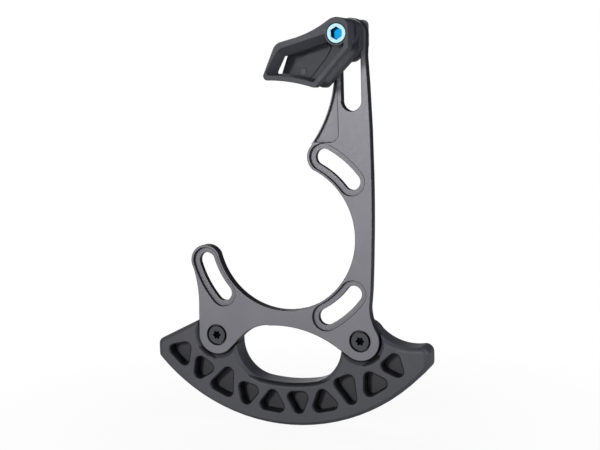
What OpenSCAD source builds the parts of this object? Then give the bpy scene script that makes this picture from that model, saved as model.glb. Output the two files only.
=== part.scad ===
// Bicycle chain guide: a backplate for three frame tabs, a bash guard below
// the chainring and a chain cage that slides along a slot at the top.
// Millimetres. Origin: bottom bracket axis at the plate's rear, mounting face.
// +Z up, +X forward, -Y outward to the rider's right, where the chain runs.

/* [Backplate] */
// Thickness of the plate
plate_t = 3.8; // [3:0.1:5]
// Radius of the opening round the bottom bracket
opening_r = 28; // [26:0.5:28.5]
// Radius of the circle that the three mounting slots follow
slot_circle_r = 34; // [33.5:0.5:35]
// Directions of the three slots' middles, in degrees from +X
slot_dirs = [49.4, -50.4, 208.5];
// Angle that each slot's centre line spans
slot_span = 24; // [14:1:25]
// Width of each slot, for a 6 mm bolt
slot_w = 6.2; // [5.4:0.1:6.6]
// Width of the recess for the bolt heads
slot_head_w = 10.2; // [9:0.1:10.6]
// Depth of that recess
slot_head_depth = 1.4; // [0.8:0.1:2]
// Wall left outside the recess
slot_wall = 1.1; // [0.8:0.1:1.6]

/* [Arm] */
// Distance of the arm's middle line from the bottom bracket
arm_x = 27.8; // [27:0.1:29]
// Height of the centre of the arm's round end
arm_top_z = 73.9; // [68:0.1:80]
// Width of the arm
arm_w = 12.4; // [11.6:0.1:14]
// Width of the slot that the cage slides in
arm_slot_w = 7.6; // [6.6:0.1:8]
// Distance between the centres of that slot's round ends
arm_slot_len = 23.6; // [14:0.2:25]
// Radius of the sweep from the arm down to the upper mounting slot
arm_sweep_r = 46; // [40:1:52]
// Width of the rib left beside the pocket under the cage
pocket_rib = 0.5; // [0.4:0.1:0.8]

/* [Bash guard] */
// Distance between the two bash guard bolts
bash_bolt_gap = 58.1; // [56:0.1:60]
// Depth of those bolts below the bottom bracket
bash_bolt_drop = 38.6; // [37.5:0.1:40]
// Radius of the plate's lugs round the bolts
lug_r = 7.5; // [7:0.1:8]
// Thickness of the bash guard
bash_t = 9.4; // [8:0.2:12]
// Outer radius of the bash guard
bash_outer_r = 72.6; // [71:0.5:77]
// Inner radius of the bash guard at the middle
bash_inner_r = 56; // [54:0.5:57]
// Half the width of the gap between plate and guard
bash_gap_half = 21.3; // [20:0.1:22]
// Bevel round the guard's front edges
bash_bevel = 1.3; // [0.6:0.1:1.6]
// Gap round the lugs in their seats
lug_clearance = 0.5; // [0.3:0.1:0.8]
// Depth of the blind pockets
pocket_depth = 5.2; // [3:0.2:6.4]
// Number of blind pockets
pocket_count = 10; // [6:1:10]
// Angle between neighbouring pockets
pocket_step = 9.48; // [9.2:0.02:9.6]

/* [Chain cage] */
// Distance from the arm's face to the front of the cage
cage_depth = 15.5; // [14:0.1:18]
// Thickness of the outer wing
wing_t = 4.4; // [3.4:0.1:5]
// Clear width of the chain channel
channel_w = 6.4; // [6:0.1:7.2]
// Radius of the lower edges of both wings, round the bottom bracket
cage_low_r = 58.3; // [57:0.1:60]
// Width of the bars round the window
window_bar = 1.9; // [1.6:0.1:2.2]
// Gap between sliding faces
slide_clearance = 0.12; // [0.08:0.02:0.3]

/* [Fasteners] */
// Thread diameter of the bash guard bolts
bash_bolt_d = 4; // [3:0.5:5]
// Head diameter of the bash guard bolts
bash_head_d = 6.8; // [6:0.1:7.2]
// Head height of the bash guard bolts
bash_head_h = 2.1; // [1.6:0.1:2.4]
// Thread diameter of the cage bolt
cage_bolt_d = 5; // [4:0.5:5]
// Head diameter of the cage bolt
cage_head_d = 6.8; // [6:0.1:7]
// Head height of the cage bolt
cage_head_h = 3.4; // [2.6:0.1:4]
// Clearance round bolt heads
head_clearance = 0.6; // [0.2:0.1:0.8]

/* [Hidden] */
$fn = 96;
eps = 0.01;

front = -plate_t;
cut = 40;

// Places and radii that follow from the driving sizes
slot_lobe_r = slot_head_w / 2 + slot_wall;
lug_x = bash_bolt_gap / 2;
lug_z = -bash_bolt_drop;
head_recess_d = bash_head_d + 2 * head_clearance;
head_recess_depth = bash_head_h;
arm_end = [arm_x, arm_top_z];
arm_slot_low_z = arm_top_z - arm_slot_len;

pockets_dir = 268.7;
gap_corner_r = 14;
gap_corner_x = bash_gap_half - gap_corner_r;
gap_corner = [gap_corner_x, -sqrt(pow(bash_inner_r - gap_corner_r, 2) - pow(gap_corner_x, 2))];
gap_corner_dir = atan2(gap_corner.y, gap_corner.x);
horn = [48.6, -21.6];
horn_r = 18.6;
bash_tip_r = 3;
bash_right_x = 55;
right_tip_x = bash_right_x - bash_tip_r;
right_tip = [right_tip_x, horn.y - sqrt(pow(horn_r + bash_tip_r, 2) - pow(right_tip_x - horn.x, 2))];
horn_tip_dir = asin((right_tip.x - horn.x) / (horn_r + bash_tip_r));
bash_left = [-54.6, -41.6];
bash_left_top = [-36.6, -32.9];
bash_left_lean = atan2(bash_left_top.y - bash_left.y, bash_left_top.x - bash_left.x);
left_tip = bash_left + bash_tip_r * [1, -tan(45 - bash_left_lean / 2)];

cage_front = front - cage_depth;
cage_back = front - slide_clearance;
wing_back = cage_front + wing_t;
channel_back = wing_back + channel_w;
parting = (cage_front + front) / 2;
boss_r = 4.4;
barrel_r = 5;
cage_top_r = 5.65;
cage_corner_r = 1.6;
outer_side_x = arm_x + boss_r;
inner_side_x = arm_x + barrel_r + 0.2;
window_left = [[0.4, cage_low_r + window_bar], [5.35, arm_top_z - 5.8]];
window_top = [[6.7, arm_top_z - 4.65], [25, arm_top_z + 0.1]];
key_depth = 1.2;
key_len = 6;
nut_collar_gap = 0.3;
nut_flange_t = 2;
nut_flange_w = 11;
bolt_play = 0.2;

// Points along an arc about c, from angle a0 to angle a1
function arc(c, r, a0, a1, n = 24) =
    [for (i = [0:n]) let (a = a0 + (a1 - a0) * i / n) c + r * [cos(a), sin(a)]];
function polar(r, a) = r * [cos(a), sin(a)];

// Front-view outline, extruded backwards from y0 by h
module upright(y0, h) {
    translate([0, y0 + h, 0]) rotate([90, 0, 0]) linear_extrude(h) children();
}

// Cutter for a bevel along an arc about p; side 1 has the solid within the arc
module bevel_arc(p, r, a0, a1, side) {
    over = 0.5;
    low = [r - side * (bash_bevel + over), -front + over];
    high = [r + side * over, -front - bash_bevel - over];
    translate([p.x, 0, p.y]) rotate([90, 0, 0]) rotate([0, 0, a0])
        rotate_extrude(angle = a1 - a0) polygon([low, [high.x, low.y], high]);
}

// Cutter for a bevel along a line; the solid lies to its right
module bevel_line(p0, p1) {
    over = 0.5;
    low = [-over, -bash_bevel - over];
    high = [bash_bevel + over, over];
    along = p1 - p0;
    translate([p0.x, front, p0.y]) rotate([0, -atan2(along.y, along.x), 0]) rotate([90, 0, 90])
        linear_extrude(norm(along)) polygon([low, [low.x, high.y], high]);
}

// Round bar along Y from y0 to y1 at the front-view point p
module rod(p, y0, y1, r) {
    translate([p.x, y1, p.y]) rotate([90, 0, 0]) cylinder(r = r, h = y1 - y0);
}

// Convex corners of a front-view outline rounded with radius r
module rounded(r) {
    offset(r = r) offset(delta = -r) children();
}

// Band of width w along the slot circle, with round ends
module arc_band(w, dir) {
    a0 = dir - slot_span / 2;
    a1 = dir + slot_span / 2;
    polygon(concat(
        arc([0, 0], slot_circle_r + w / 2, a0, a1, 12),
        arc(polar(slot_circle_r, a1), w / 2, a1 + 8, a1 + 172),
        arc([0, 0], slot_circle_r - w / 2, a1, a0, 12),
        arc(polar(slot_circle_r, a0), w / 2, a0 + 188, a0 + 352)));
}

// Outer boundary of the plate, before the central opening is cut
module plate_boundary() {
    left_end = polar(slot_circle_r, slot_dirs[2] - slot_span / 2);
    upper_end = polar(slot_circle_r, slot_dirs[0] + slot_span / 2);
    left_sweep_r = 45;
    left_sweep = [-lug_x - lug_r - left_sweep_r + 0.4, -25.5];
    arch_left_r = 16.5;
    arch_r = 42.1;
    neck_r = 18;
    neck_lean = 30;
    neck = [lug_x, lug_z] + (lug_r + neck_r) * [cos(neck_lean), sin(neck_lean)];
    bow_r = 705;
    bow_mid_z = 22;
    bow_x = arm_x + arm_w / 2 + 1;
    polygon(concat(
        [[-10, 0]],
        arc(left_end, slot_lobe_r, 12, 196),
        arc(left_sweep, left_sweep_r, 17, 0, 10),
        arc([-lug_x, lug_z], lug_r, 180, 315),
        arc([-6.9, -50.4], arch_left_r, 135, 94, 12),
        arc([-4, -76.1], arch_r, 94, 54, 20),
        arc([lug_x, lug_z], lug_r, 234, 360 + neck_lean),
        arc(neck, neck_r, 180 + neck_lean, 180, 8),
        arc([bow_x - bow_r, bow_mid_z], bow_r, -3.4, 3.6, 16),
        arc(arm_end, arm_w / 2, 0, 180),
        arc([arm_x - arm_w / 2 - arm_sweep_r, arm_top_z - 10.9], arm_sweep_r, 0, -38),
        arc(upper_end, slot_lobe_r, 131, 250)));
}

module plate_outline() {
    difference() {
        plate_boundary();
        circle(r = opening_r);
    }
}

// Upright slot below the arm's end, w wide, with round ends len apart
module slot_outline(w, len) {
    for (z = [-len, 0]) translate(arm_end + [0, z]) circle(d = w);
    translate(arm_end - [w / 2, len]) square([w, len]);
}

// Triangular pocket between the arm, its rib and the upper mounting slot
module arm_pocket_outline() {
    right = arm_x - arm_w / 2 + 0.8;
    low = polar(slot_circle_r, slot_dirs[0] + slot_span / 2).y + slot_lobe_r - 0.7;
    rounded(0.15) intersection() {
        offset(delta = -pocket_rib) plate_boundary();
        translate([right, low]) rounded(3) translate([-30, 0]) square([30, 60]);
        translate([0, low]) square([60, arm_top_z - low - 14]);
    }
}

module backplate() {
    color([0.52, 0.52, 0.54]) difference() {
        upright(front, plate_t) plate_outline();
        for (dir = slot_dirs) {
            upright(front - eps, slot_head_depth + eps) arc_band(slot_head_w, dir);
            upright(front - eps, cut) arc_band(slot_w, dir);
        }
        upright(front - eps, cut) slot_outline(arm_slot_w, arm_slot_len);
        upright(front - eps, slot_head_depth + eps) arm_pocket_outline();
        for (x = [-lug_x, lug_x]) {
            rod([x, lug_z], front - eps, front + head_recess_depth, head_recess_d / 2);
            rod([x, lug_z], front - eps, cut, bash_bolt_d / 2 + bolt_play);
        }
    }
}

// Gap that the plate and the bash guard leave between them
module bash_gap_outline() {
    polygon(concat(
        [[bash_gap_half, 0], [-bash_gap_half, 0]],
        arc([-gap_corner.x, gap_corner.y], gap_corner_r, 180, 180 - gap_corner_dir),
        arc([0, 0], bash_inner_r, 180 - gap_corner_dir, 360 + gap_corner_dir),
        arc(gap_corner, gap_corner_r, gap_corner_dir, 0)));
}

// Whole outline of the bash guard
module bash_outline() {
    difference() {
        union() {
            rounded(bash_tip_r) intersection() {
                circle(r = bash_outer_r);
                difference() {
                    polygon([[bash_left.x, -bash_outer_r], bash_left, bash_left_top,
                             [-lug_x - 3, lug_z + 6.5], [-lug_x, lug_z + 3],
                             [lug_x, lug_z + 3], horn,
                             [bash_right_x, horn.y], [bash_right_x, -bash_outer_r]]);
                    translate(horn) circle(r = horn_r);
                }
            }
            for (x = [-lug_x, lug_x]) translate([x, lug_z]) circle(r = lug_r);
        }
        bash_gap_outline();
    }
}

// Bevel round the front edges: rim, horn, both tips, the gap and the lug seats
module bash_bevels() {
    bevel_arc([0, 0], bash_outer_r, 0, 360, 1);
    hull() {
        upright(front + bash_bevel, eps) bash_gap_outline();
        upright(front - eps, eps) offset(delta = bash_bevel) bash_gap_outline();
    }
    bevel_arc(horn, horn_r, 226, 270 + horn_tip_dir, -1);
    bevel_arc(right_tip, bash_tip_r, 0, 92 + horn_tip_dir, 1);
    bevel_line([bash_right_x, right_tip.y], [bash_right_x, -bash_outer_r]);
    bevel_line([bash_left.x, -bash_outer_r], [bash_left.x, left_tip.y]);
    bevel_arc(left_tip, bash_tip_r, 90 + bash_left_lean, 180, 1);
    bevel_line(left_tip + polar(bash_tip_r, 90 + bash_left_lean), bash_left_top);
    for (x = [-lug_x, lug_x]) bevel_arc([x, lug_z], lug_r + lug_clearance, 0, 360, -1);
}

// Blind pocket i, a triangle with round corners; even ones point inwards
module bash_pocket_outline(i) {
    dir = pockets_dir + (i - (pocket_count - 1) / 2) * pocket_step;
    apex_in = i % 2 == 0;
    long = i == 2 || i == pocket_count - 3;
    corner_r = 2;
    half = (apex_in ? 4.7 : 3.9) - corner_r;
    inner_r = bash_inner_r + (long ? 0.9 : 3.5) + corner_r;
    outer_r = bash_outer_r - 5.1 - corner_r;
    apex_r = apex_in ? inner_r : outer_r;
    base_r = apex_in ? outer_r : inner_r;
    rotate(dir) offset(r = corner_r, $fn = 32)
        polygon([[apex_r, 0], [base_r, half], [base_r, -half]]);
}

module bash_guard() {
    color([0.26, 0.27, 0.29]) difference() {
        upright(front, bash_t) bash_outline();
        upright(front - cut, plate_t + cut) offset(delta = lug_clearance) plate_outline();
        bash_bevels();
        upright(front - cut, pocket_depth + cut)
            for (i = [0:pocket_count - 1]) bash_pocket_outline(i);
        for (x = [-lug_x, lug_x]) {
            rod([x, lug_z], -cut, cut, bash_bolt_d / 2 + bolt_play);
            rod([x, lug_z], bash_back() - insert_len(), cut, bash_insert_r());
        }
    }
}

function bash_back() = bash_t - plate_t;
function insert_len() = bash_back() - 0.6;
function bash_insert_r() = bash_bolt_d / 2 + 1.3;

// Low-head screw with a six-lobed socket; head face at y0, pointing outward
module bash_bolt(x) {
    socket_r = 1.25;
    lobe_r = 0.42;
    seat = front + bash_head_h;
    color([0.6, 0.61, 0.63]) difference() {
        union() {
            rod([x, lug_z], front, seat, bash_head_d / 2);
            rod([x, lug_z], front, bash_back() - 0.4, bash_bolt_d / 2);
        }
        rod([x, lug_z], front - eps, front + 1.4, socket_r);
        for (a = [0:60:300])
            rod([x, lug_z] + polar(socket_r, a), front - eps, front + 1.4, lobe_r);
    }
}

module bash_bolt_left() { bash_bolt(-lug_x); }
module bash_bolt_right() { bash_bolt(lug_x); }

// Threaded bush, pressed into the guard from behind
module bash_insert(x) {
    color([0.78, 0.62, 0.3]) difference() {
        rod([x, lug_z], bash_back() - insert_len(), bash_back(), bash_insert_r());
        rod([x, lug_z], -cut, cut, bash_bolt_d / 2);
    }
}

module bash_insert_left() { bash_insert(-lug_x); }
module bash_insert_right() { bash_insert(lug_x); }

// Cage seen from the front, corners still sharp: low arc, side, boss, sweep, nose
module cage_shape(side_x, left_dir = 91.1) {
    boss_left = 124;
    sweep_r = 40;
    sweep = arm_end + (cage_top_r + sweep_r) * [cos(boss_left), sin(boss_left)];
    polygon(concat(
        arc([0, 0], cage_low_r, left_dir, 70.6),
        [[side_x, arm_top_z - 5.2], [side_x, arm_top_z + 3.4]],
        arc(arm_end, cage_top_r, 58, boss_left, 12),
        arc(sweep, sweep_r, boss_left - 180, -78, 8),
        arc([7.5, arm_top_z - 6.1], 4, 102, 155, 8)));
}

module outer_outline() {
    rounded(cage_corner_r) cage_shape(outer_side_x);
}

module inner_outline() {
    rounded(cage_corner_r) cage_shape(inner_side_x);
}

// Everything below the roof, outside the barrel: the way of the chain
module channel_outline() {
    difference() {
        polygon([[-cut, 0], [-cut, arm_top_z - 7.9], [4.2, arm_top_z - 6.9],
                 [10.4, arm_top_z - 6.2], [14.2, arm_top_z - 5.2], [18.9, arm_top_z - 3.6],
                 [arm_x, arm_top_z - 0.6], [cut + cut, arm_top_z - 0.6], [cut + cut, 0]]);
        translate(arm_end) circle(r = barrel_r);
    }
}

module window_outline() {
    difference() {
        rounded(0.9) intersection() {
            offset(delta = -window_bar) rounded(cage_corner_r)
                cage_shape(outer_side_x, left_dir = 97);
            polygon(concat([[window_left[0].x, 0]], window_left, window_top,
                           [arm_end, [cut + cut, arm_top_z], [cut + cut, 0]]));
        }
        translate(arm_end) circle(r = boss_r);
    }
}

// Lip along the window's edge from p0 to p1, sloping in by w towards the chain
module straight_lip(p0, p1, w) {
    along = p1 - p0;
    start = 0.15;
    translate([p0.x, cage_front, p0.y]) rotate([0, -atan2(along.y, along.x), 0])
        rotate([90, 0, 90]) translate([0, 0, -1]) linear_extrude(norm(along) + 2)
            polygon([[0, start], [wing_t, -w], [wing_t, 1.5], [0, 1.5]]);
}

// Lip along the window's lower edge, rising towards the chain
module low_lip() {
    low_r = cage_low_r - 1;
    edge_r = cage_low_r + window_bar;
    translate([0, cage_front, 0]) rotate([90, 0, 0]) rotate([0, 0, 65])
        rotate_extrude(angle = 30)
            polygon([[low_r, 0], [edge_r - 0.15, 0], [edge_r + 0.95, -wing_t], [low_r, -wing_t]]);
}

module outer_cage() {
    color([0.24, 0.24, 0.25]) difference() {
        union() {
            difference() {
                upright(cage_front, wing_t) outer_outline();
                upright(cage_front - eps, cut) window_outline();
            }
            upright(wing_back - eps, parting - wing_back + eps) difference() {
                outer_outline();
                channel_outline();
            }
            intersection() {
                upright(cage_front, wing_t) outer_outline();
                union() {
                    straight_lip(window_left[0], window_left[1], 1.7);
                    straight_lip(window_top[0], window_top[1], 2.3);
                    low_lip();
                }
            }
            rod(arm_end, cage_front, parting, boss_r);
        }
        rod(arm_end, cage_front - eps, cage_front + cage_head_h, (cage_head_d + 0.3) / 2);
        rod(arm_end, cage_front - eps, cut, cage_bolt_d / 2 + bolt_play);
    }
}

// Outline of the inner wing, whose nose stops short of the outer one's
module inner_wing_outline() {
    rounded(cage_corner_r) intersection() {
        cage_shape(inner_side_x);
        polygon([[3.1, 0], [3.1, cage_low_r + 3], [6.5, arm_top_z - 3.9],
                 [6.5, arm_top_z + cut], [cut + cut, arm_top_z + cut], [cut + cut, 0]]);
    }
}

// Key that keeps a sliding piece from turning in the arm's slot
module key_outline() {
    slot_outline(arm_slot_w - 2 * slide_clearance, key_len);
}

module inner_cage() {
    pad_t = 0.6;
    pad_front = channel_back - pad_t;
    color([0.22, 0.22, 0.23]) difference() {
        union() {
            upright(channel_back, cage_back - channel_back) inner_wing_outline();
            upright(parting, channel_back - parting + eps) difference() {
                inner_outline();
                channel_outline();
            }
            rod(arm_end, parting, cage_back, barrel_r);
            upright(pad_front, pad_t + eps) wear_pad_outline();
            rod([11.6, cage_low_r + 2.9], pad_front - 0.2, channel_back, 1.3);
            upright(cage_back - eps, key_depth) key_outline();
        }
        rod(arm_end, -cut, cut, cage_bolt_d / 2 + bolt_play);
    }
}

// Raised face that the chain may touch
module wear_pad_outline() {
    intersection() {
        offset(delta = -0.6) inner_wing_outline();
        rounded(1.5) polygon([[7.2, cage_low_r - 2.3], [7.2, cage_low_r + 3.2],
                              [8.2, cage_low_r + 5.9], [11.6, arm_top_z - 7.1],
                              [18, arm_top_z - 2.9], [23.4, arm_top_z - 2.9],
                              [20.3, arm_top_z - 8.3], [14, cage_low_r + 0.3],
                              [14, cage_low_r - 2.3]]);
    }
}

module cage_bolt() {
    nut_end = nut_flange_t + 0.6;
    color([0.1, 0.6, 0.85]) difference() {
        union() {
            rod(arm_end, cage_front, cage_front + cage_head_h, cage_head_d / 2);
            rod(arm_end, cage_front, nut_end, cage_bolt_d / 2);
        }
        translate([arm_x, cage_front + 2.4, arm_top_z]) rotate([90, 30, 0])
            cylinder(d = 4 / cos(30), h = 2.4 + eps, $fn = 6);
    }
}

module slider_nut() {
    collar_front = cage_back + key_depth + nut_collar_gap;
    color([0.62, 0.63, 0.65]) difference() {
        union() {
            upright(collar_front, slide_clearance - collar_front + eps) key_outline();
            upright(slide_clearance, nut_flange_t) rounded(2)
                translate(arm_end - [nut_flange_w / 2, nut_flange_w / 2])
                    square([nut_flange_w, nut_flange_w]);
        }
        rod(arm_end, -cut, cut, cage_bolt_d / 2);
    }
}

backplate();
bash_guard();
bash_bolt_left();
bash_bolt_right();
bash_insert_left();
bash_insert_right();
outer_cage();
inner_cage();
cage_bolt();
slider_nut();
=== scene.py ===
import math
import bmesh
import bpy
from mathutils import Matrix, Vector


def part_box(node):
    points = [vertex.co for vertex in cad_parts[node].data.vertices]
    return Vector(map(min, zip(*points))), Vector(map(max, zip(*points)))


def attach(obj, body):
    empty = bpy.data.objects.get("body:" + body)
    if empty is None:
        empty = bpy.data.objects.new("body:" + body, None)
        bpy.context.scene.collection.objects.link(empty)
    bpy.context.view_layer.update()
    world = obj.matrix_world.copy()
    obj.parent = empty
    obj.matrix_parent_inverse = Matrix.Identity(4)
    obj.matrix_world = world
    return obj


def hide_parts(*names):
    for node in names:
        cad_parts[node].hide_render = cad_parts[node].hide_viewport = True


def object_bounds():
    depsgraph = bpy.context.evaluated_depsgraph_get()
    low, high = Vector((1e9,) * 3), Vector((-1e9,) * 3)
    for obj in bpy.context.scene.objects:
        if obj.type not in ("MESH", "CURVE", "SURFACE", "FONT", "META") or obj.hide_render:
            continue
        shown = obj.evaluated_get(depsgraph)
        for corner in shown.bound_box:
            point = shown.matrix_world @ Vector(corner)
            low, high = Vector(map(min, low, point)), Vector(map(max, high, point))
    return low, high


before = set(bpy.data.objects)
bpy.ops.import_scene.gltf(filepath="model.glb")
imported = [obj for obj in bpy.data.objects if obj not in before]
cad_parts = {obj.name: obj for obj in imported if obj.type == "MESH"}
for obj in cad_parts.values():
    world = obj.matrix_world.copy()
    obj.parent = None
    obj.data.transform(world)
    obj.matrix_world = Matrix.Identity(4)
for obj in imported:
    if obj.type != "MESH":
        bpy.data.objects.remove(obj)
cad_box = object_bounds()

MM = 0.001

# The part: places taken from the solids at their present size, and edges to break
FRONT = -3.8 * MM                   # front face of the plate and of the guard
PAD_FRONT = -9.1 * MM               # front face of the wear pad
BUTTON = (11.6 * MM, 61.2 * MM)     # middle (x, z) of the round button on the pad
BUTTON_RADIUS = 1.3 * MM
GUARD_MIDDLE = (-0.0227, 0, -0.9997)  # from the axis to the middle of the guard
GUARD_REACH = 0.674                 # cosine of the angle from there to the end pockets
POCKET_RING = (59 * MM, 70.4 * MM)  # radii between which the guard's pockets lie
LOW_POCKETS = -43.5 * MM            # the pockets below this height reach further in,
LOW_POCKETS_REACH = 2.9 * MM        # by this much
POCKET_FLOOR = 5.4 * MM             # the shade ends at this depth below the front
SHARP_ANGLE = 35                    # degrees: convex edges above this are bevelled
SMOOTH_ANGLE = 40                   # degrees: edges below this are shaded smooth

# The light
WORLD_LEVEL = 0.03                  # what the surroundings add to matt surfaces
GLOSSY_WHITE = 0.04                 # share of their white that reflections show

# The camera, at the photograph's viewpoint
CAMERA_PLACE = (0.16112, -0.41844, 0.05107)
CAMERA_RIGHT = (0.9377, 0.3463, -0.0275)
CAMERA_FORWARD = (-0.3472, 0.932, -0.1044)
CAMERA_LENS = 71.48
CAMERA_SENSOR = 36


def add_camera():
    data = bpy.data.cameras.new("camera")
    data.lens = CAMERA_LENS
    data.sensor_width = CAMERA_SENSOR
    data.clip_start = 0.01
    data.clip_end = 20
    cam = bpy.data.objects.new("camera", data)
    bpy.context.collection.objects.link(cam)
    right = Vector(CAMERA_RIGHT).normalized()
    forward = Vector(CAMERA_FORWARD).normalized()
    up = right.cross(forward).normalized()
    right = forward.cross(up).normalized()
    turn = Matrix((right, up, -forward)).transposed().to_4x4()
    cam.matrix_world = Matrix.Translation(Vector(CAMERA_PLACE)) @ turn
    bpy.context.scene.camera = cam


# Small helpers for node materials

class Maker:
    def __init__(self, name):
        self.mat = bpy.data.materials.new(name)
        self.mat.use_nodes = True
        self.tree = self.mat.node_tree
        self.bsdf = self.tree.nodes["Principled BSDF"]
        self.coords = self.tree.nodes.new("ShaderNodeTexCoord").outputs["Object"]

    def add(self, kind, **props):
        node = self.tree.nodes.new(kind)
        for key, value in props.items():
            if hasattr(node, key):
                setattr(node, key, value)
            else:
                node.inputs[key.replace("_", " ")].default_value = value
        return node

    def link(self, a, b):
        self.tree.links.new(a, b)

    def feed(self, socket, value):
        """Link the socket to an output, or set it to a plain value."""
        if isinstance(value, bpy.types.NodeSocket):
            self.link(value, socket)
        else:
            socket.default_value = value

    def noise(self, scale, detail=3.0, rough=0.5):
        node = self.add("ShaderNodeTexNoise", Scale=scale, Detail=detail, Roughness=rough)
        self.link(self.coords, node.inputs["Vector"])
        return node.outputs["Fac"]

    def ramp(self, fac, low, high, start=0.3, end=0.7):
        """Colour from low to high while fac goes from start to end."""
        node = self.add("ShaderNodeValToRGB")
        node.color_ramp.elements[0].position = start
        node.color_ramp.elements[1].position = end
        node.color_ramp.elements[0].color = low
        node.color_ramp.elements[1].color = high
        self.link(fac, node.inputs["Fac"])
        return node.outputs["Color"]

    def mix(self, first, second, share):
        """Colour between first (share 0) and second (share 1)."""
        node = self.add("ShaderNodeMix", data_type="RGBA")
        for index, value in ((6, first), (7, second), (0, share)):
            self.feed(node.inputs[index], value)
        return node.outputs[2]

    def remap(self, fac, low, high):
        """Number from low to high while fac goes from 0 to 1."""
        node = self.add("ShaderNodeMapRange")
        node.inputs["To Min"].default_value = low
        node.inputs["To Max"].default_value = high
        self.link(fac, node.inputs["Value"])
        return node.outputs["Result"]

    def ramped(self, value, start, end):
        """0 below start and 1 above end, smooth between them."""
        node = self.add("ShaderNodeMapRange", interpolation_type="SMOOTHSTEP")
        node.inputs["From Min"].default_value = start
        node.inputs["From Max"].default_value = end
        self.link(value, node.inputs["Value"])
        return node.outputs["Result"]

    def math(self, operation, *values):
        node = self.add("ShaderNodeMath", operation=operation)
        for socket, value in zip(node.inputs, values):
            self.feed(socket, value)
        return node.outputs[0]

    def part(self, source, axis):
        """One axis of a vector output."""
        node = self.add("ShaderNodeSeparateXYZ")
        self.link(source, node.inputs[0])
        return node.outputs[axis]

    def walls(self, tilted=0.86, flat=0.985):
        """1 on surfaces that turn away from the flat front and back, 0 on those."""
        normal = self.tree.nodes.new("ShaderNodeTexCoord").outputs["Normal"]
        share = self.ramped(self.math("ABSOLUTE", self.part(normal, "Y")), tilted, flat)
        return self.math("SUBTRACT", 1, share)

    def radius(self, x=0, z=0):
        """Distance from the axis through (x, z) that runs along Y."""
        place = self.add("ShaderNodeMapping", Location=(-x, 0, -z), Scale=(1, 0, 1))
        self.link(self.coords, place.inputs["Vector"])
        length = self.add("ShaderNodeVectorMath", operation="LENGTH")
        self.link(place.outputs["Vector"], length.inputs[0])
        return length.outputs["Value"]

    def bump(self, height, strength, distance, below=None):
        node = self.add("ShaderNodeBump", Strength=strength, Distance=distance)
        self.link(height, node.inputs["Height"])
        if below is not None:
            self.link(below, node.inputs["Normal"])
        return node.outputs["Normal"]


def rgb(r, g, b):
    return (r, g, b, 1.0)


def plate_metal(name, base, tint, edge, rough):
    """Anodised aluminium: satin faces, painted shade on the side walls and bevels, faint
    bead-blasted grain.
    """
    m = Maker(name)
    face = m.ramp(m.noise(60, 3), base, tint, 0.35, 0.65)
    # Painted shade: faces turned away from the front and back take the dark edge colour.
    m.link(m.mix(face, edge, m.walls()), m.bsdf.inputs["Base Color"])
    m.link(m.remap(m.noise(900, 4), rough - 0.05, rough + 0.05), m.bsdf.inputs["Roughness"])
    m.link(m.bump(m.noise(2600, 2, 0.6), 0.08, 0.00005), m.bsdf.inputs["Normal"])
    m.bsdf.inputs["Metallic"].default_value = 0.35
    return m.mat


def moulded_plastic(name, base, tint, rough, shade=None):
    """Matt injection moulded plastic with a fine spark-eroded texture.

    shade(maker) gives a darker or lighter colour and where on the piece it shows.
    """
    m = Maker(name)
    colour = m.ramp(m.noise(45, 4), base, tint, 0.35, 0.65)
    if shade:
        other, where = shade(m)
        colour = m.mix(colour, other, where)
    m.link(colour, m.bsdf.inputs["Base Color"])
    m.link(m.remap(m.noise(500, 3), rough - 0.07, rough + 0.07), m.bsdf.inputs["Roughness"])
    coarse = m.bump(m.noise(220, 2), 0.12, 0.0002)
    m.link(m.bump(m.noise(1500, 3, 0.65), 0.25, 0.00007, coarse), m.bsdf.inputs["Normal"])
    return m.mat


def pocket_shade(m):
    """Painted shade: dark walls and, less dark, floors of the guard's pockets and of the seats
    of the lugs.
    """
    r = m.radius()
    low = m.math("LESS_THAN", m.part(m.coords, "Z"), LOW_POCKETS)
    reach = m.math("MULTIPLY_ADD", low, LOW_POCKETS_REACH, r)
    inner = m.math("GREATER_THAN", reach, POCKET_RING[0])
    outer = m.math("LESS_THAN", r, POCKET_RING[1])
    towards = m.add("ShaderNodeVectorMath", operation="DOT_PRODUCT")
    m.link(m.coords, towards.inputs[0])
    towards.inputs[1].default_value = GUARD_MIDDLE
    cosine = m.math("DIVIDE", towards.outputs["Value"], r)
    down = m.math("GREATER_THAN", cosine, GUARD_REACH)
    shallow = m.math("LESS_THAN", m.part(m.coords, "Y"), FRONT + POCKET_FLOOR)
    between = m.math("MULTIPLY", inner, outer)
    ring = m.math("MULTIPLY", between, m.math("MULTIPLY", down, shallow))
    floor = m.ramped(m.part(m.coords, "Y"), FRONT + 3 * MM, FRONT + 5 * MM)
    dark = m.math("MAXIMUM", m.walls(0.93, 0.995), m.math("MULTIPLY", floor, 0.62))
    return rgb(0.008, 0.008, 0.01), m.math("MULTIPLY", ring, dark)


def button_shade(m):
    """Paler face of the round button on the wear pad."""
    inside = m.math("LESS_THAN", m.radius(*BUTTON), BUTTON_RADIUS)
    front = m.math("LESS_THAN", m.part(m.coords, "Y"), PAD_FRONT - 0.1 * MM)
    return rgb(0.085, 0.086, 0.1), m.math("MULTIPLY", inside, front)


def turned_metal(name, base, tint, rough, metallic=1.0):
    """Machined metal with fine rings of tool marks left by a light noise."""
    m = Maker(name)
    m.link(m.ramp(m.noise(700, 3), base, tint), m.bsdf.inputs["Base Color"])
    m.link(m.remap(m.noise(1600, 3), rough - 0.05, rough + 0.08), m.bsdf.inputs["Roughness"])
    m.link(m.bump(m.noise(3000, 2), 0.15, 0.00004), m.bsdf.inputs["Normal"])
    m.bsdf.inputs["Metallic"].default_value = metallic
    return m.mat


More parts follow.
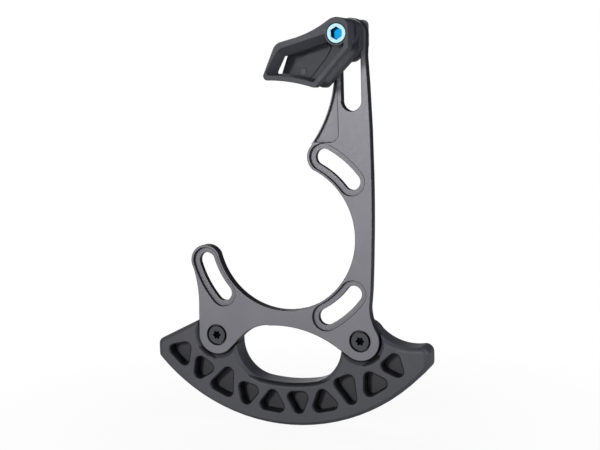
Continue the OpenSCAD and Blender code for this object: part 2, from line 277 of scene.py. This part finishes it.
def screw_metal(name, node, face, deep, rough):
    """Screw whose head has one colour on its front and another in its socket. On the blue screw
    the pale front is a painted highlight over the blue metal; on the steel screws the
    near-black socket is painted shade.
    """
    m = Maker(name)
    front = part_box(node)[0][1]
    inside = m.ramped(m.part(m.coords, "Y"), front + 0.2 * MM, front + 0.35 * MM)
    grain = m.ramp(m.noise(900, 3), face, tuple(min(1, 1.15 * v) for v in face))
    m.link(m.mix(grain, deep, inside), m.bsdf.inputs["Base Color"])
    m.link(m.remap(m.noise(1500, 3), rough - 0.04, rough + 0.04), m.bsdf.inputs["Roughness"])
    m.link(m.bump(m.noise(3000, 2), 0.1, 0.00003), m.bsdf.inputs["Normal"])
    m.link(inside, m.bsdf.inputs["Metallic"])
    return m.mat


# Pieces made from the CAD nodes, with broken edges

def sharp(e):
    return e.is_manifold and e.is_convex and e.calc_face_angle(0) > math.radians(SHARP_ANGLE)


def bevel(bm, edges, width, segments):
    bmesh.ops.bevel(bm, geom=edges, offset=width, segments=segments, profile=0.5,
                    affect="EDGES", clamp_overlap=False)


def dressed(node, name, body, material, width, first=None, reshape=None):
    """Adds a copy of a CAD node whose sharp convex edges are bevelled by width.

    first is a pair: rule(edge) picks edges that get a bevel of their own width before
    the others. reshape(bmesh) changes the copy before any bevel.
    """
    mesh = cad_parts[node].data.copy()
    mesh.name = name
    mesh.materials.clear()
    mesh.materials.append(material)
    bm = bmesh.new()
    bm.from_mesh(mesh)
    bmesh.ops.remove_doubles(bm, verts=bm.verts, dist=0.01 * MM)
    bmesh.ops.dissolve_limit(bm, angle_limit=math.radians(1), verts=bm.verts, edges=bm.edges,
                             delimit=set())
    if reshape:
        reshape(bm)
    if first:
        rule, wide = first
        bevel(bm, [e for e in bm.edges if sharp(e) and rule(e)], wide, 4)
    bevel(bm, [e for e in bm.edges if sharp(e)], width, 2)
    for f in bm.faces:
        f.smooth = True
    for e in bm.edges:
        e.smooth = e.calc_face_angle(0) < math.radians(SMOOTH_ANGLE)
    bm.to_mesh(mesh)
    bm.free()
    piece = bpy.data.objects.new(name, mesh)
    bpy.context.collection.objects.link(piece)
    even = piece.modifiers.new("even", "WEIGHTED_NORMAL")
    even.keep_sharp = True
    even.weight = 100
    bpy.context.view_layer.objects.active = piece
    bpy.ops.object.modifier_apply(modifier=even.name)
    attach(piece, body)
    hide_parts(node)


def middle(e):
    return (e.verts[0].co + e.verts[1].co) / 2


def at_front(place):
    return abs(place.y - FRONT) < 0.05 * MM


def in_mouth(e):
    """Edges of the blind pockets on the guard's front face."""
    mid = middle(e)
    r = math.hypot(mid.x, mid.z)
    low = mid.z < LOW_POCKETS and 56.2 * MM < r < 70.5 * MM
    high = 59 * MM < r < 69.5 * MM
    return at_front(mid) and (low or high)


def on_plate_front(e):
    """Edges of the plate's front face, but for the thin rib left of the arm's pocket.

    The rib is too thin for the wide bevel on both its sides. The pocket's low side, at
    pocket_low, and its rounded low corner beside the rib have the wide bevel.
    """
    pocket_low, corner, corner_radius = 35.35 * MM, (19.4 * MM, 38.35 * MM), 3 * MM
    mid = middle(e)
    low_side = abs(mid.z - pocket_low) < 0.05 * MM and mid.x > 16 * MM
    off_corner = math.hypot(mid.x - corner[0], mid.z - corner[1]) - corner_radius
    at_corner = abs(off_corner) < 0.1 * MM and mid.z < corner[1]
    rib = mid.z > 34.4 * MM and mid.x < 22.3 * MM and not (low_side or at_corner)
    above = mid.z > 56 * MM and mid.x < 24.5 * MM
    return at_front(mid) and not (rib or above)


def thicker_left_lip(bm):
    """Brings the back edge of the window's left lip inwards, most at its low end.

    Lengths are in mm. At the low end the move grows from 0 at the lip's front edge to
    low_move at its back edge.
    """
    low_move, top_move = 1.4, 0.4
    lip_front, lip_depth = -17.49, 2.59
    for v in bm.verts:
        x, y, z = v.co / MM
        low_corner = 1.5 < x < 3.2 and 60.4 < z < 61.2 and -17.4 < y < -14.8
        top_corner = abs(x - 6.57) < 0.05 and abs(z - 66.84) < 0.05 and abs(y + 14.9) < 0.05
        if low_corner:
            v.co.x += low_move * MM * (y - lip_front) / lip_depth
        if top_corner:
            v.co.x += top_move * MM


# Stage: pale floor, white surroundings, soft lamps

def white_share(nodes, links, rays):
    """Sum of a Light Path node's ray outputs, each with its own share."""
    path = nodes.new("ShaderNodeLightPath")
    total = None
    for ray, share in rays:
        part = nodes.new("ShaderNodeMath")
        part.operation = "MULTIPLY_ADD"
        part.use_clamp = True
        links.new(path.outputs[ray], part.inputs[0])
        part.inputs[1].default_value = share
        part.inputs[2].default_value = 0
        if total is not None:
            links.new(total, part.inputs[2])
        total = part.outputs[0]
    return total


def add_world():
    world = bpy.data.worlds.new("world")
    bpy.context.scene.world = world
    world.use_nodes = True
    nodes, links = world.node_tree.nodes, world.node_tree.links
    nodes.clear()
    out = nodes.new("ShaderNodeOutputWorld")
    dim = nodes.new("ShaderNodeBackground")
    dim.inputs["Color"].default_value = rgb(0.95, 0.96, 1)
    dim.inputs["Strength"].default_value = WORLD_LEVEL
    white = nodes.new("ShaderNodeBackground")
    white.inputs["Color"].default_value = rgb(1, 1, 1)
    mix = nodes.new("ShaderNodeMixShader")
    rays = (("Is Camera Ray", 1), ("Is Glossy Ray", GLOSSY_WHITE), ("Is Transmission Ray", 1))
    links.new(white_share(nodes, links, rays), mix.inputs[0])
    links.new(dim.outputs[0], mix.inputs[1])
    links.new(white.outputs[0], mix.inputs[2])
    links.new(mix.outputs[0], out.inputs["Surface"])


def add_floor():
    """Pale floor: white to the camera, but for the object's shadow near it."""
    mat = bpy.data.materials.new("floor")
    mat.use_nodes = True
    nodes, links = mat.node_tree.nodes, mat.node_tree.links
    bsdf = nodes["Principled BSDF"]
    bsdf.inputs["Base Color"].default_value = rgb(0.85, 0.85, 0.85)
    bsdf.inputs["Roughness"].default_value = 0.9
    bsdf.inputs["Specular IOR Level"].default_value = 0.1
    glow = nodes.new("ShaderNodeEmission")
    coords = nodes.new("ShaderNodeTexCoord")
    away = nodes.new("ShaderNodeVectorMath")
    away.operation = "LENGTH"
    links.new(coords.outputs["Object"], away.inputs[0])
    fade = nodes.new("ShaderNodeMapRange")
    fade.inputs["From Min"].default_value = 0.06
    fade.inputs["From Max"].default_value = 0.16
    fade.inputs["To Min"].default_value = 0.93
    fade.inputs["To Max"].default_value = 1
    links.new(away.outputs["Value"], fade.inputs["Value"])
    share = nodes.new("ShaderNodeMath")
    share.operation = "MULTIPLY"
    links.new(white_share(nodes, links, (("Is Camera Ray", 1),)), share.inputs[0])
    links.new(fade.outputs["Result"], share.inputs[1])
    blend = nodes.new("ShaderNodeMixShader")
    links.new(share.outputs[0], blend.inputs[0])
    links.new(bsdf.outputs[0], blend.inputs[1])
    links.new(glow.outputs[0], blend.inputs[2])
    links.new(blend.outputs[0], nodes["Material Output"].inputs["Surface"])
    bpy.ops.mesh.primitive_plane_add(size=6, location=(0, 0, cad_box[0][2] - 0.0005))
    floor = bpy.context.object
    floor.name = "floor"
    floor.data.materials.append(mat)


def add_lamp(name, place, target, size, watts, color=(1, 1, 1)):
    data = bpy.data.lights.new(name, "AREA")
    data.shape = "RECTANGLE"
    data.size, data.size_y = size
    data.energy = watts
    data.color = color
    lamp = bpy.data.objects.new(name, data)
    bpy.context.collection.objects.link(lamp)
    lamp.location = place
    aim = Vector(target) - Vector(place)
    lamp.rotation_euler = aim.to_track_quat("-Z", "Y").to_euler()


def main():
    bpy.context.scene.view_settings.view_transform = "Standard"
    add_camera()
    add_world()
    add_floor()
    add_lamp("key", (-0.3, -1.1, 0.22), (0, 0, 0.01), (0.2, 0.2), 5.4)
    add_lamp("soft", (-0.1, -1.2, 0.2), (0, 0, 0), (0.8, 0.5), 2)
    add_lamp("side", (1.0, -0.3, 0.4), (0, 0, 0.02), (0.6, 0.6), 5, (0.88, 0.94, 1))
    add_lamp("back", (-0.8, 0.8, 0.5), (0, 0, 0), (0.6, 0.6), 9)

    # The plate's third colour is painted shade for its side walls and bevels.
    plate = plate_metal("plate_metal", rgb(0.18, 0.177, 0.197), rgb(0.193, 0.19, 0.21),
                        rgb(0.02, 0.02, 0.024), 0.48)
    # The guard's pockets get painted shade from pocket_shade.
    guard = moulded_plastic("guard_plastic", rgb(0.06, 0.06, 0.072), rgb(0.071, 0.071, 0.084),
                            0.55, pocket_shade)
    cage = moulded_plastic("cage_plastic", rgb(0.052, 0.053, 0.065), rgb(0.062, 0.063, 0.076),
                           0.6)
    # Painted shade: the inner piece is the outer cage's plastic in a darker copy, for the shade
    # it lies in behind the window.
    inner = moulded_plastic("cage_plastic_inner", rgb(0.036, 0.037, 0.047),
                            rgb(0.043, 0.044, 0.056), 0.62, button_shade)
    # Painted shade: the near-black second colour stands in for the shade inside the socket.
    steel = screw_metal("bolt_steel", "bash_bolt_left", rgb(0.036, 0.037, 0.046),
                        rgb(0.003, 0.003, 0.005), 0.5)
    brass = turned_metal("insert_brass", rgb(0.6, 0.43, 0.18), rgb(0.7, 0.5, 0.22), 0.32)
    # Painted highlight: the pale cyan front stands in for the glint on the blue metal, whose
    # own colour shows in the socket.
    blue = screw_metal("blue_metal", "cage_bolt", rgb(0.48, 0.82, 0.96),
                       rgb(0.003, 0.1, 0.22), 0.42)
    grey = turned_metal("nut_metal", rgb(0.13, 0.13, 0.14), rgb(0.17, 0.17, 0.18), 0.6, 0.2)

    dressed("backplate", "plate_body", "plate", plate, 0.2 * MM,
            first=(on_plate_front, 0.32 * MM))
    dressed("bash_guard", "guard_body", "plate", guard, 0.2 * MM,
            first=(in_mouth, 0.8 * MM))
    dressed("outer_cage", "outer_cage_body", "cage", cage, 0.4 * MM,
            reshape=thicker_left_lip)
    dressed("inner_cage", "inner_cage_body", "cage", inner, 0.3 * MM)
    for side in ("left", "right"):
        dressed("bash_bolt_" + side, "guard_bolt_" + side, "plate", steel,
                0.12 * MM)
        dressed("bash_insert_" + side, "guard_insert_" + side, "plate", brass,
                0.1 * MM)
    dressed("cage_bolt", "blue_bolt", "cage", blue, 0.15 * MM)
    dressed("slider_nut", "slot_nut", "cage", grey, 0.2 * MM)


main()
